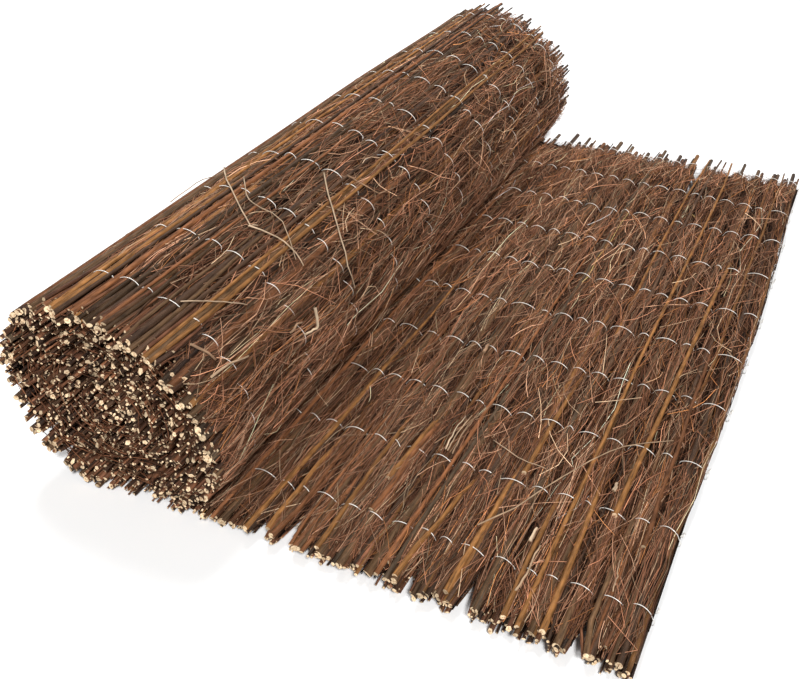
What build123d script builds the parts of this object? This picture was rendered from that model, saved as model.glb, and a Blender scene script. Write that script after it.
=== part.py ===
from build123d import *
import math
import os
from bisect import bisect_right

os.makedirs("parts", exist_ok=True)

# The mat, in millimetres
screen_height = 1017.0  # length of the longest sticks, along Y
mat_thickness = 11.8  # brush crest to brush crest
valley_thickness = 6.0  # between two bundles
bundle_pitch = 25.0
crest_share = 0.45  # part of a bundle's width that its crest takes
near_setback = 6.0  # brush ends this far short of the longest sticks
far_setback = 28.0
ragged = 12.0  # how unevenly the brush ends

# The roll and the part that lies flat
roll_turns = 6.0
core_half_height = 17.0
roll_aspect = 1.17  # width to height
roll_lean = 0.2  # the soft roll slumps sideways
lower_square = 0.72  # under 1, the lower half is squarer than an ellipse
turn_clearance = 1.0
roll_x = -30.0
roll_skew = 0.001  # the roll lies askew on the ground: X shifts by this share of Y
roll_creep = 1.0  # and it has crept this far towards the near end
free_edge_x = 471.0
flat_length = 150.0  # the flat spot that the roll's weight presses
flat_setback = 25.0
lies_to = 10.0  # degrees round the roll that lie on the ground

# The thick sticks
rod_diameter = 9.5
rod_variation = 0.3
rod_stands_proud = 3.5  # above the brush crest
rod_share = 0.9  # bundles with a thick stick on the outside
seat_clearance = 0.15
seat_margin = 0.6
groove_floor = 0.42  # half the width of a groove's floor, as a share of the stick
groove_mouth = 0.52
shows_from = 33.0  # degrees round the roll where the outside shows, from the ground
shows_to = 306.0
ground_sticks = (-30.0, 58.0)  # X of the two that lie between the roll and the ground
nip_share = 0.93  # the flat part shows up to this share of the roll's half width

# The binding wires
wire_pitch = 100.0
wire_edge = 68.5  # first wire from the near end
wire_far_edge = 36.0  # the last wire is at least this far from the far end
wire_thickness = 1.2
wire_clearance = 0.2
strand_setback = 2.0  # the lower strand stops this far from the flat spot

# The gaps between bundles at both ends of the roll
gap_depth = 42.0
gap_width = 7.0
gap_share = 0.72

# Wider gaps in the flat part: about how far from the free edge, width and depth
near_gaps = (
    (50.0, 10.0, 33.0),
    (75.0, 4.0, 18.0),
    (150.0, 13.0, 40.0),
    (175.0, 4.0, 14.0),
    (200.0, 7.0, 22.0),
    (325.0, 16.0, 40.0),
    (350.0, 10.0, 22.0),
)
far_gaps = (
    (100.0, 7.0, 110.0),
    (150.0, 13.0, 160.0),
    (200.0, 9.0, 45.0),
    (275.0, 6.0, 60.0),
)
overshoot = 1.0  # a cut starts this far outside the brush

crest = mat_thickness / 2
valley = valley_thickness / 2
mat_lift = wire_thickness + 2 * wire_clearance
near_end = -screen_height / 2
far_end = screen_height / 2


def spread(number, start):
    """An even spread of values from 0 to 1, different for each number."""
    return (start + number * 0.6180339887) % 1.0


# A slumped oval is narrowest across its lean, so the turns are spaced for that direction.
mean_square = (roll_aspect**2 + roll_lean**2 + 1) / 2
half_difference = (roll_aspect**2 + roll_lean**2 - 1) / 2
narrowest = math.sqrt(mean_square - math.hypot(half_difference, roll_lean))
turn_pitch = (mat_thickness + turn_clearance) / narrowest
half_height = core_half_height + roll_turns * turn_pitch
mat_z = mat_lift + crest
roll_z = mat_z + half_height
last_turn = 2 * math.pi * roll_turns


def oval(turned):
    """Where the middle of the mat is after turning by this angle from the ground."""
    reach = half_height - turn_pitch * turned / (2 * math.pi)
    sine = math.sin(turned)
    cosine = math.cos(turned)
    power = lower_square if cosine > 0 else 1.0
    z = -reach * math.copysign(abs(cosine) ** power, cosine)
    x = -reach * roll_aspect * math.copysign(abs(sine) ** power, sine) - roll_lean * z
    return roll_x + x, roll_z + z


lift_x = oval(0.0)[0]
lengths = [0.0, free_edge_x - lift_x]
middles = [(free_edge_x, mat_z), (lift_x, mat_z)]
turns = [0.0, 0.0]
step = 0.002
for number in range(1, int(last_turn / step)):
    point = oval(number * step)
    lengths.append(lengths[-1] + math.dist(point, middles[-1]))
    middles.append(point)
    turns.append(number * step)


def middle(length):
    """The point of the mat's middle line at this length from the free edge."""
    after = min(max(bisect_right(lengths, length), 1), len(lengths) - 1)
    share = (length - lengths[after - 1]) / (lengths[after] - lengths[after - 1])
    start, end = middles[after - 1], middles[after]
    return start[0] + share * (end[0] - start[0]), start[1] + share * (end[1] - start[1])


def turned_at(length):
    return turns[min(bisect_right(lengths, length), len(turns) - 1)]


probe = 2.0  # a short way along the mat


def direction(length):
    """Along the mat, away from the free edge."""
    behind = middle(length - probe)
    ahead = middle(length + probe)
    reach = math.dist(behind, ahead)
    return (ahead[0] - behind[0]) / reach, (ahead[1] - behind[1]) / reach


def spot(length, offset):
    """A point off the middle line, towards the roll's outside for a positive offset."""
    x, z = middle(length)
    along_x, along_z = direction(length)
    return x - offset * along_z, z + offset * along_x


def beside(length, along, offset):
    """A point in the flat frame that touches the mat at this length."""
    x, z = middle(length)
    along_x, along_z = direction(length)
    return x + along * along_x - offset * along_z, z + along * along_z + offset * along_x


def prism(outline, near, far, skew=0.0):
    """An outline drawn out along Y, or askew of it."""
    points = [(x + skew * near, near, z) for x, z in outline]
    reach = (far - near) * math.hypot(1, skew)
    return extrude(make_face(Polyline(*points, close=True)), reach, dir=(skew, 1, 0))


mat_length = lengths[-1]
bundles = int(mat_length / bundle_pitch)
starts = [number * bundle_pitch for number in range(bundles + 1)]
nip_x = roll_x + nip_share * roll_aspect * half_height


def eight_sided(diameter):
    """Corners of a stick's section round its own middle, with flats below and above."""
    radius = diameter / 2 / math.cos(math.pi / 8)
    angles = [math.pi / 8 + corner * math.pi / 4 for corner in range(8)]
    return [(radius * math.cos(angle), radius * math.sin(angle)) for angle in angles]


class Bundle:
    """One bundle: where it is, which face shows and the stick that lies in it."""

    def __init__(self, number):
        self.number = number
        self.start = starts[number]
        self.end = starts[number + 1]
        self.centre = (self.start + self.end) / 2
        self.turned = turned_at(self.centre)
        self.on_apron = self.end < lengths[1] and middle(self.centre)[0] > nip_x
        self.on_roll = shows_from < math.degrees(self.turned) < shows_to
        self.rolled = math.degrees(turned_at(self.start)) > lies_to
        self.skew = roll_skew if self.rolled else 0.0
        self.creep = roll_creep if self.rolled else 0.0
        self.shows = self.on_apron or self.on_roll
        self.side = 1 if self.on_roll else -1
        self.has_rod = self.shows and spread(number, 0.45) < rod_share
        self.rod = rod_diameter * (1 + rod_variation * (spread(number, 0.2) - 0.5))
        shift = (bundle_pitch - self.rod) / 4 * (spread(number, 0.7) - 0.5)
        self.rod_at = self.centre + shift if self.has_rod else self.centre
        self.seat = crest + rod_stands_proud - self.rod - seat_clearance

    def face(self, side):
        """Corners of one face between its two valleys, as (length, offset)."""
        if self.has_rod and side == self.side:
            bottom = groove_floor * self.rod + seat_margin
            top = groove_mouth * self.rod + seat_margin
            corners = [(-top, crest), (-bottom, self.seat), (bottom, self.seat), (top, crest)]
            return [(self.rod_at + along, side * offset) for along, offset in corners]
        half = crest_share * bundle_pitch / 2
        return [(self.centre - half, side * crest), (self.centre + half, side * crest)]

    def outline(self):
        upper = [(self.start, valley), *self.face(1), (self.end, valley)]
        lower = [(self.end, -valley), *reversed(self.face(-1)), (self.start, -valley)]
        return [spot(length, offset) for length, offset in upper + lower]

    def near(self):
        return near_end - self.creep + near_setback + ragged * spread(self.number, 0.1)

    def far(self):
        return far_end - self.creep - far_setback - ragged * spread(self.number, 0.55)

    def solid(self):
        return prism(self.outline(), self.near(), self.far(), self.skew)

    def rod_solid(self):
        """The stick as an eight-sided bar on the flat of its seat."""
        middle_offset = self.seat + seat_clearance + self.rod / 2
        outline = []
        for along, offset in eight_sided(self.rod):
            outline.append(beside(self.rod_at, along, self.side * (middle_offset + offset)))
        near = near_end - self.creep + near_setback * spread(self.number, 0.9)
        far = far_end - self.creep - far_setback * spread(self.number, 0.35)
        return prism(outline, near, far, self.skew)

    def wire_top(self):
        """How far from the middle line the wire passes over this bundle."""
        low = valley + wire_clearance
        spare = wire_clearance
        # On the roll a straight run of wire cuts across the curve.
        if self.on_roll:
            spare += bundle_pitch**2 / (12 * half_height)
        obstacles = [(at, abs(offset)) for at, offset in self.face(self.side)]
        if self.has_rod:
            flat = self.rod / 2 * math.tan(math.pi / 8)
            top = crest + rod_stands_proud
            shoulder = top - self.rod / 2 + flat
            for way in (-1, 1):
                obstacles.append((self.rod_at + way * flat, top))
                obstacles.append((self.rod_at + way * self.rod / 2, shoulder))
        highest = low
        for at, offset in obstacles:
            foot = self.start if at < self.rod_at else self.end
            share = (at - foot) / (self.rod_at - foot)
            highest = max(highest, low + (offset + spare - low) / share)
        return highest


run = [Bundle(number) for number in range(bundles)]
outer_end = next(b.number for b in run if b.turned > 2 * math.pi) + 1

# The inner turns end evenly and are drawn as one outline.
inner = run[outer_end:]
inner_upper = []
inner_lower = []
for bundle in inner:
    inner_upper += [(bundle.start, valley), *bundle.face(1)]
    inner_lower += [(bundle.start, -valley), *bundle.face(-1)]
inner_upper.append((inner[-1].end, valley))
inner_lower.append((inner[-1].end, -valley))
inner_outline = [spot(length, offset) for length, offset in inner_upper + inner_lower[::-1]]
brush_near = near_end + near_setback + ragged / 2
brush_far = far_end - far_setback - ragged / 2
inner_turns = prism(inner_outline, brush_near - roll_creep, brush_far - roll_creep, roll_skew)

# Under the roll the mat lies flat and takes up the skew, so its outline from above has slanted ends.
flat_start = next(b.start for b in run if not b.on_apron)
flat_end = next(b.start for b in run if b.rolled)
overlap = 0.5
slab_x = middle(flat_start)[0]
turn_up_x = middle(flat_end + overlap)[0]
slab_corners = [(slab_x, brush_near), (slab_x, brush_far)]
for y in (brush_far - roll_creep, brush_near - roll_creep):
    slab_corners.append((turn_up_x + roll_skew * y, y))
slab_outline = [(x, y, mat_z - crest) for x, y in slab_corners]
slab = extrude(make_face(Polyline(*slab_outline, close=True)), mat_thickness, dir=(0, 0, 1))

# The roll's weight presses a flat spot into the mat below it.
half_flat = flat_length / 2
flat_outline = [(-half_flat, 0), (half_flat, 0), (half_flat, mat_z), (-half_flat, mat_z)]
flat_spot = prism(flat_outline, near_end + flat_setback, far_end - flat_setback)

outer_bundles = [b.solid() for b in run[:outer_end] if b.on_apron or b.rolled]
mat = inner_turns.fuse(slab, flat_spot, *outer_bundles)


def gap(bundle, way, width, depth):
    """A wedge before this bundle, widest at the near end (way 1) or the far end (way -1)."""
    end = (near_end if way > 0 else far_end) - bundle.creep
    mouth = end - way * overshoot
    reach = crest + turn_clearance / 2
    corners = []
    for along, y in ((-width / 2, mouth), (width / 2, mouth), (0.0, end + way * depth)):
        x, z = beside(bundle.start, along, -reach)
        corners.append((x + bundle.skew * y, y, z))
    along_x, along_z = direction(bundle.start)
    face = make_face(Polyline(*corners, close=True))
    return extrude(face, reach + crest + overshoot, dir=(-along_z, 0, along_x))


gaps = []
for chosen, way in ((near_gaps, 1), (far_gaps, -1)):
    for distance, width, depth in chosen:
        gaps.append(gap(run[round(distance / bundle_pitch)], way, width, depth))
for bundle in run[1:outer_end]:
    if not (bundle.on_roll and run[bundle.number - 1].on_roll):
        continue
    number = bundle.number
    for way, start in ((1, 0.3), (-1, 0.8)):
        if spread(number, start) > gap_share:
            continue
        width = gap_width * (0.5 + 0.5 * spread(number, start + 0.4))
        depth = gap_depth * (0.7 + 0.5 * spread(number, start + 0.15))
        gaps.append(gap(bundle, way, width, depth))

# The sticks under the roll are pressed into the mat until they are level with its flat spot.
grooves = []
rods = [bundle.rod_solid() for bundle in run if bundle.has_rod]
groove_half = groove_mouth * rod_diameter + seat_margin
groove_top = rod_diameter + seat_clearance
for x in ground_sticks:
    low_corners = [(x - groove_half, -overshoot), (x + groove_half, -overshoot)]
    high_corners = [(x + groove_half, groove_top), (x - groove_half, groove_top)]
    grooves.append(prism(low_corners + high_corners, near_end - roll_creep, far_end))
    stick = [(x + along, rod_diameter / 2 + offset) for along, offset in eight_sided(rod_diameter)]
    rods.append(prism(stick, near_end - roll_creep + near_setback, far_end - far_setback))

mat = mat.cut(*gaps, *grooves)
export_step(mat, "parts/brush_mat.step")
for number, rod in enumerate(rods, 1):
    export_step(rod, f"parts/rod_{number:02d}.step")


def band(path):
    """The outline of a wire that follows a path of (length, offset) on one side of the mat."""
    way = 1 if path[0][1] > 0 else -1
    under = [spot(length, offset) for length, offset in path]
    over = [spot(length, offset + way * wire_thickness) for length, offset in path]
    return under, over


def rise_and_dip(chosen):
    """A wire's path over these bundles: over each bundle, down between two."""
    way = chosen[0].side
    path = [(chosen[0].start, way * (valley + wire_clearance))]
    for bundle in chosen:
        path.append((bundle.rod_at, way * bundle.wire_top()))
        path.append((bundle.end, way * (valley + wire_clearance)))
    return path


apron = [bundle for bundle in run if bundle.on_apron]
outside = [bundle for bundle in run if bundle.on_roll]
apron_under, apron_over = band(rise_and_dip(apron))
roll_under, roll_over = band(rise_and_dip(outside))

# Round the free edge and back beneath the mat, as far as the flat spot.
edge_in = free_edge_x + wire_clearance
edge_out = edge_in + wire_thickness
strand_top = mat_lift - wire_clearance
strand_low = strand_top - wire_thickness
strand_end = half_flat + strand_setback
loop_inside = [(edge_in, apron_under[0][1]), (edge_in, strand_top), (strand_end, strand_top)]
loop_outside = [(edge_out, apron_over[0][1]), (edge_out, strand_low), (strand_end, strand_low)]
loop_outline = apron_under[::-1] + loop_inside + loop_outside[::-1] + apron_over

wire_count = int((screen_height - wire_edge - wire_far_edge) / wire_pitch) + 1
for number in range(wire_count):
    y = near_end + wire_edge + number * wire_pitch
    near = y - wire_thickness / 2
    far = y + wire_thickness / 2
    loop = prism(loop_outline, near, far)
    strand = prism(roll_under + roll_over[::-1], near - roll_creep, far - roll_creep, roll_skew)
    export_step(Compound(children=[loop, strand]), f"parts/binding_wire_{number + 1:02d}.step")

print(f"mat {mat_length:.0f} mm long, {bundles} bundles, {len(rods)} sticks, {len(gaps)} gaps")
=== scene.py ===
# %% [markdown]
# # A heather screen, half unrolled
# The screen is a mat of heather brush and thick sticks, bound side by side with rows of wire.
# Most of it is still rolled up, and the rest lies flat. This lesson loads the packed solids as a
# fixed frame, then dresses them: sticks, brush and wire are drawn one by one, because from close
# by the eye reads single twigs and never a smooth mat.

# %% Load the frame
import math

import bmesh
import bpy
import numpy as np
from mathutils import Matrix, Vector


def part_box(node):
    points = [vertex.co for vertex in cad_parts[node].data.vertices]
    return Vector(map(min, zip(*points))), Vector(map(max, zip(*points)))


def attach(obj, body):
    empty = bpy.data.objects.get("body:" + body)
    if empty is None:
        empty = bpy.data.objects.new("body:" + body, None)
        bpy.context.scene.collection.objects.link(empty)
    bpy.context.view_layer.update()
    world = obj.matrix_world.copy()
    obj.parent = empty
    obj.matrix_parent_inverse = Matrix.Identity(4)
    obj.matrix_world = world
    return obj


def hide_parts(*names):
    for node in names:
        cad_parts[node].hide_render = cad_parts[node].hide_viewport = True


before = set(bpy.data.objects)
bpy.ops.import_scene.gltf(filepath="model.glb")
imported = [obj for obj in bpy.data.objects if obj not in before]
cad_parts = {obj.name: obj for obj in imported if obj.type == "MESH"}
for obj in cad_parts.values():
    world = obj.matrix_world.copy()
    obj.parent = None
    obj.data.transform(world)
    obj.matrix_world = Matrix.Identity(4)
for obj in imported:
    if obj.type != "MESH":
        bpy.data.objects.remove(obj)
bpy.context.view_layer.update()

rods = sorted(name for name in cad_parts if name.startswith("rod_"))
wires = sorted(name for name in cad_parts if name.startswith("binding_wire_"))

# %% [markdown]
# ## The camera
# The rows of wire are a ruler in the photograph: they are evenly spaced along the sticks, so their
# places in the picture give the camera's height, tilt and lens. Those solved numbers are used here
# as they are, and no shift is needed.

# %% Camera
CAMERA_PLACE = (0.516, -1.024, 0.673)
LOOKS_DOWN, LOOKS_LEFT = 34.82, 25.8  # degrees
camera_data = bpy.data.cameras.new("camera")
camera_data.lens = 44.2
camera_data.sensor_width = 36.0
camera = bpy.data.objects.new("camera", camera_data)
camera.location = CAMERA_PLACE
camera.rotation_euler = (math.radians(90 - LOOKS_DOWN), 0, math.radians(LOOKS_LEFT))
bpy.context.scene.collection.objects.link(camera)
bpy.context.scene.camera = camera
bpy.context.scene.view_settings.view_transform = "Standard"
print("camera at", tuple(round(v, 3) for v in camera.location))

# %% [markdown]
# ## Helpers for nodes
# Every finish in this lesson is a tree of shader nodes. A small class keeps one tree and adds
# nodes to it, so that a line of code reads like a line of arithmetic. An input takes a socket,
# which is linked, or a plain value, which is set.

# %% Node helpers
class Tree:
    """One node tree, with short ways to add the nodes that this lesson uses."""

    def __init__(self, tree):
        self.nodes = tree.nodes
        self.links = tree.links

    def feed(self, socket, value):
        """Links a socket to this input, or sets the input to a plain value."""
        if isinstance(value, bpy.types.NodeSocket):
            self.links.new(value, socket)
        else:
            socket.default_value = value

    def node(self, kind, inputs, **settings):
        """A new node with these settings, and its inputs fed by name or number."""
        made = self.nodes.new("ShaderNode" + kind)
        for name, value in settings.items():
            setattr(made, name, value)
        for key, value in inputs.items():
            self.feed(made.inputs[key], value)
        return made

    def maths(self, operation, a, b):
        return self.node("Math", {0: a, 1: b}, operation=operation).outputs[0]

    def scaled(self, vector, by):
        """A vector times another, each axis by itself."""
        return self.node("VectorMath", {0: vector, 1: by}, operation="MULTIPLY").outputs[0]

    def shaded(self, colour, by):
        """A colour made lighter or darker by one number."""
        return self.node("VectorMath", {0: colour, "Scale": by}, operation="SCALE").outputs[0]

    def mixed(self, factor, a, b):
        return self.node("Mix", {"Factor": factor, "A": a, "B": b}, data_type="RGBA").outputs["Result"]

    def noise(self, vector, scale, detail):
        return self.node("TexNoise", {"Vector": vector, "Scale": scale, "Detail": detail}).outputs["Fac"]

    def remap(self, value, old, new):
        """A value from the old range, moved to the new one and kept inside it."""
        ends = {"From Min": old[0], "From Max": old[1], "To Min": new[0], "To Max": new[1]}
        return self.node("MapRange", {"Value": value, **ends}).outputs["Result"]

    def ramp(self, factor, *stops):
        """A colour between two stops, each a place and a colour."""
        made = self.node("ValToRGB", {"Fac": factor})
        for element, (place, colour) in zip(made.color_ramp.elements, stops):
            element.position = place
            element.color = colour
        return made.outputs["Color"]

    def attribute(self, name, output):
        return self.node("Attribute", {}, attribute_name=name).outputs[output]


def new_material(name):
    """A node material, its tree and its Principled shader."""
    material = bpy.data.materials.new(name)
    material.use_nodes = True
    return material, Tree(material.node_tree), material.node_tree.nodes["Principled BSDF"]


print("node helpers:", ", ".join(name for name in vars(Tree) if not name.startswith("_")))

# %% [markdown]
# ## Floor and light
# The photograph is a plain product shot on white. A pale floor catches the shadow, the world is a
# soft even light, and a broad lamp in front gives the twigs a lit side and a dark side. A second
# one from behind lights the roll's far shoulder. The white behind everything is only for rays
# that come straight from the camera, a reflection or a see-through surface.

# %% Floor, world and lamps
REACH = 20.0
FLOOR_DROP = 0.0006  # just under the lowest solids
floor_mesh = bpy.data.meshes.new("floor")
floor_corners = [(-REACH, -REACH, 0), (REACH, -REACH, 0), (REACH, REACH, 0), (-REACH, REACH, 0)]
floor_mesh.from_pydata(floor_corners, [], [(0, 1, 2, 3)])
floor = bpy.data.objects.new("floor", floor_mesh)
floor.location.z = -FLOOR_DROP
bpy.context.scene.collection.objects.link(floor)
floor_paint, _, shader = new_material("floor_paint")
shader.inputs["Base Color"].default_value = (0.93, 0.93, 0.93, 1)
shader.inputs["Roughness"].default_value = 0.9
shader.inputs["Specular IOR Level"].default_value = 0.1
floor_mesh.materials.append(floor_paint)

world = bpy.data.worlds.new("studio")
bpy.context.scene.world = world
world.use_nodes = True
tree = Tree(world.node_tree)
light_sky = tree.nodes["Background"]
light_sky.inputs["Color"].default_value = (1, 0.99, 0.975, 1)
light_sky.inputs["Strength"].default_value = 0.19
white_sky = tree.node("Background", {"Color": (1, 1, 1, 1), "Strength": 1.0})
path = tree.node("LightPath", {})
seen = tree.maths("MAXIMUM", path.outputs["Is Camera Ray"], path.outputs["Is Glossy Ray"])
seen = tree.maths("MAXIMUM", seen, path.outputs["Is Transmission Ray"])
sky = tree.node("MixShader", {"Fac": seen, 1: light_sky.outputs[0], 2: white_sky.outputs[0]})
tree.feed(tree.nodes["World Output"].inputs["Surface"], sky.outputs[0])


def lamp(name, place, softness, strength):
    """A broad lamp that shines from this place towards the middle, softer with a larger angle."""
    data = bpy.data.lights.new(name, "SUN")
    data.angle = math.radians(softness)
    data.energy = strength
    made = bpy.data.objects.new(name, data)
    made.location = place
    made.rotation_euler = (-Vector(place)).to_track_quat("-Z", "Y").to_euler()
    bpy.context.scene.collection.objects.link(made)


lamp("key", (1.15, -1.5, 2.2), softness=13, strength=3.5)
lamp("rim", (-0.9, 1.3, 2.4), softness=20, strength=1.9)
print("floor, world and two lamps")

# %% [markdown]
# ## The line that the mat follows
# Seen from the end, the mat is one line: flat along the ground from its free edge, then up and
# round into a slumped oval that winds inwards. The same few numbers drive the solids. Everything
# is then placed by three coordinates: a length along this line, y along the sticks and a height off
# the line towards the side that shows. The roll has crept a hair towards the near end and lies a
# hair askew, and the stretch under the roll takes that up.

# %% The mat's line
SCREEN_HEIGHT = 1.017
HALF = SCREEN_HEIGHT / 2
MAT_THICKNESS = 0.0118
BUNDLE = 0.025
ROLL_TURNS = 6.0
CORE_HALF_HEIGHT = 0.017
ROLL_ASPECT = 1.17
ROLL_LEAN = 0.2
LOWER_SQUARE = 0.72
TURN_CLEARANCE = 0.001
ROLL_X = -0.030
FREE_EDGE_X = 0.471
MAT_LIFT = 0.0016
FLAT_SAMPLES, TURN_STEP = 200, 0.002

mean_square = (ROLL_ASPECT**2 + ROLL_LEAN**2 + 1) / 2
half_difference = (ROLL_ASPECT**2 + ROLL_LEAN**2 - 1) / 2
narrowest = math.sqrt(mean_square - math.hypot(half_difference, ROLL_LEAN))
turn_pitch = (MAT_THICKNESS + TURN_CLEARANCE) / narrowest
half_height = CORE_HALF_HEIGHT + ROLL_TURNS * turn_pitch
mat_z = MAT_LIFT + MAT_THICKNESS / 2
roll_z = mat_z + half_height

turned = np.arange(0, 2 * math.pi * ROLL_TURNS, TURN_STEP)
reach_in = half_height - turn_pitch * turned / (2 * math.pi)
power = np.where(np.cos(turned) > 0, LOWER_SQUARE, 1.0)


def squared(wave):
    """A sine or cosine of the turn, drawn out towards a square in the roll's lower half."""
    return np.sign(wave) * np.abs(wave) ** power


oval_z = -reach_in * squared(np.cos(turned))
oval_x = -reach_in * ROLL_ASPECT * squared(np.sin(turned)) - ROLL_LEAN * oval_z
flat_x = np.linspace(FREE_EDGE_X, ROLL_X + oval_x[0], FLAT_SAMPLES)[:-1]
line_x = np.concatenate([flat_x, ROLL_X + oval_x])
line_z = np.concatenate([np.full(len(flat_x), mat_z), roll_z + oval_z])
line_length = np.concatenate([[0], np.cumsum(np.hypot(np.diff(line_x), np.diff(line_z)))])
mat_length = line_length[-1]
bundle_count = int(mat_length / BUNDLE)


def length_at_turn(degrees):
    """How far along the mat it has turned by this angle, from where it leaves the ground."""
    return float(np.interp(math.radians(degrees), turned, line_length[len(flat_x):]))


APRON_END = 0.425
ROLL_START, ROLL_END = length_at_turn(14), length_at_turn(344)
print(f"mat {mat_length:.2f} m, {bundle_count} bundles, roll shows from {ROLL_START:.2f} to {ROLL_END:.2f} m")

# %% [markdown]
# ## From mat to space
# Every stick and twig is worked out on the mat laid flat, and one function then bends it onto the
# line. For that the line is sampled evenly, with a smoothed direction at each sample. The mat is
# soft, so the outer turn stands off a little on the roll's left, and the last bundle bellies out.

# %% Points on the mat
ROLL_SKEW, ROLL_CREEP = 0.001, 0.001
FLAT_START, FLAT_END = 0.400, 0.525  # the stretch under the roll
SWELL, SWELL_FROM, SWELL_TO = 0.0045, 0.52, 0.83
BELLY, BELLY_MIDDLE, BELLY_HALF, BELLY_WIDTH = 0.008, 0.02, 0.36, 0.05
LINE_SAMPLES = 6000
SMOOTH = 7  # samples
even_length = np.linspace(0, mat_length, LINE_SAMPLES)
even_x = np.interp(even_length, line_length, line_x)
even_z = np.interp(even_length, line_length, line_z)


def smooth_slope(values):
    slope = np.pad(np.gradient(values, even_length[1]), SMOOTH // 2, "edge")
    return np.convolve(slope, np.ones(SMOOTH) / SMOOTH, "valid")


slope_x, slope_z = smooth_slope(even_x), smooth_slope(even_z)
along_x = slope_x / np.hypot(slope_x, slope_z)
along_z = slope_z / np.hypot(slope_x, slope_z)


def fade(value, start, width):
    """Rises from 0 at the start to 1 a width further on, or further back with a negative width."""
    return np.clip((value - start) / width, 0, 1)


def swell(length, y):
    """How far the loose outer turn stands off on the roll's left side and shoulder."""
    there = fade(length, SWELL_FROM, 0.06) * fade(length, SWELL_TO, -0.08)
    return SWELL * there * fade(y, 0.40, -0.25)


def belly(length, y):
    """How far the loose last bundle bellies out past the free edge."""
    bow = np.clip(1 - ((y - BELLY_MIDDLE) / BELLY_HALF) ** 2, 0, 1)
    return BELLY * bow * np.clip(1 - length / BELLY_WIDTH, 0, 1)


def on_mat(length, y, height, side):
    """Points at these lengths, off the line towards the roll's outside (side 1) or inside (-1)."""
    if side > 0:
        height = height + swell(length, y) * np.clip(0.5 + height / MAT_THICKNESS, 0, 1)
    x, z, ax, az = (np.interp(length, even_length, line) for line in (even_x, even_z, along_x, along_z))
    rolled = fade(length, FLAT_START, FLAT_END - FLAT_START)
    y = y - ROLL_CREEP * rolled
    x = x - side * height * az + ROLL_SKEW * rolled * y + belly(length, y)
    return np.stack(np.broadcast_arrays(x, y, z + side * height * ax), axis=-1)


print("top of the roll at", round(float(even_z.max() + MAT_THICKNESS / 2), 3), "m")

# %% [markdown]
# ## Gaps between bundles
# Past the last wire at each end the bundles spread apart and leave V-shaped gaps. The solids have
# them at certain bundles. Cutting them out of the finished brush would leave twigs that end in
# nothing, so every stick and twig is pushed aside instead, and the floor shows through.

# %% Gaps
GAP_DEPTH, GAP_WIDTH, GAP_SHARE = 0.042, 0.005, 0.72
HAIR_GAP = 0.0014
GOLDEN_RATIO = 0.6180339887
# Gaps in the flat part: distance from the free edge, width and depth
NEAR_GAPS = (
    (0.049, 0.013, 0.036), (0.075, 0.004, 0.018), (0.149, 0.014, 0.042), (0.175, 0.004, 0.014),
    (0.201, 0.008, 0.022), (0.325, 0.016, 0.040), (0.351, 0.012, 0.026),
)
FAR_GAPS = ((0.100, 0.007, 0.110), (0.149, 0.017, 0.160), (0.201, 0.009, 0.045), (0.275, 0.006, 0.060))
half_bundle = BUNDLE / 2
numbers = np.arange(bundle_count + 1)
valleys = numbers * BUNDLE
outside_from, outside_to = length_at_turn(33) + half_bundle, length_at_turn(306) - half_bundle
on_outside = (valleys > outside_from) & (valleys < outside_to)
for distance, *_ in NEAR_GAPS:
    valleys[round(distance / BUNDLE)] = distance
midways = (valleys[1:] + valleys[:-1]) / 2


def spread(number, start):
    """Numbers from 0 to 1 that stay evenly spread, however many are taken."""
    return (start + number * GOLDEN_RATIO) % 1.0


def gaps_of(start, placed):
    """Width and depth of the gap before each bundle, at one end."""
    chosen = on_outside & (spread(numbers, start) <= GAP_SHARE)
    widths = np.where(chosen, GAP_WIDTH * (0.5 + 0.5 * spread(numbers, start + 0.4)), HAIR_GAP)
    depths = GAP_DEPTH * (0.7 + 0.5 * spread(numbers, start + 0.15))
    for distance, width, depth in placed:
        widths[round(distance / BUNDLE)] = width
        depths[round(distance / BUNDLE)] = depth
    return widths, depths


near_width, near_depth = gaps_of(0.3, NEAR_GAPS)
far_width, far_depth = gaps_of(0.8, FAR_GAPS)


def gap_at(length, y):
    """The nearest valley between bundles, the way off it, and half the width that is open there."""
    valley = np.searchsorted(midways, length)
    from_near = (y + HALF) / near_depth[valley]
    from_far = (HALF - y) / far_depth[valley]
    half = near_width[valley] / 2 * np.clip(1 - from_near, 0, 1)
    half = half + far_width[valley] / 2 * np.clip(1 - from_far, 0, 1)
    return valley, length - valleys[valley], np.where(valley == 0, 0, half)


def open_gaps(length, y, radius=0.0):
    """Pushes points aside, along the mat, where a gap is open, thick sticks further than thin ones."""
    valley, aside, half = gap_at(length, y)
    side = np.clip(valley + np.where(aside > 0, 0, -1), 0, bundle_count - 1)
    room = np.abs(midways[side] - valleys[valley])
    half = np.where(half > HAIR_GAP, np.minimum(half + radius, 0.9 * room), half)
    moved = np.sign(aside) * (half + np.abs(aside) * (1 - half / room))
    return valleys[valley] + moved


def clear_of_gaps(length, y):
    """Which tubes cross no open gap from one side to the other."""
    valley, aside, half = gap_at(length, y)
    same = valley[:, 1:] == valley[:, :-1]
    swaps = np.sign(aside[:, 1:]) != np.sign(aside[:, :-1])
    is_open = np.maximum(half[:, 1:], half[:, :-1]) > HAIR_GAP
    return ~(same & swaps & is_open).any(axis=1)


print("gaps at the near end:", int((near_width > 0.002).sum()))

# %% [markdown]
# ## Ends and wire rows
# The screen is trimmed by eye, so the sticks don't all end on one line: they stop short beside the
# roll, and stand out a little at the roll's far end and at its foot. Each row of wire ties the
# bundles tight, and between two rows they swell and their twigs mingle.

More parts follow.
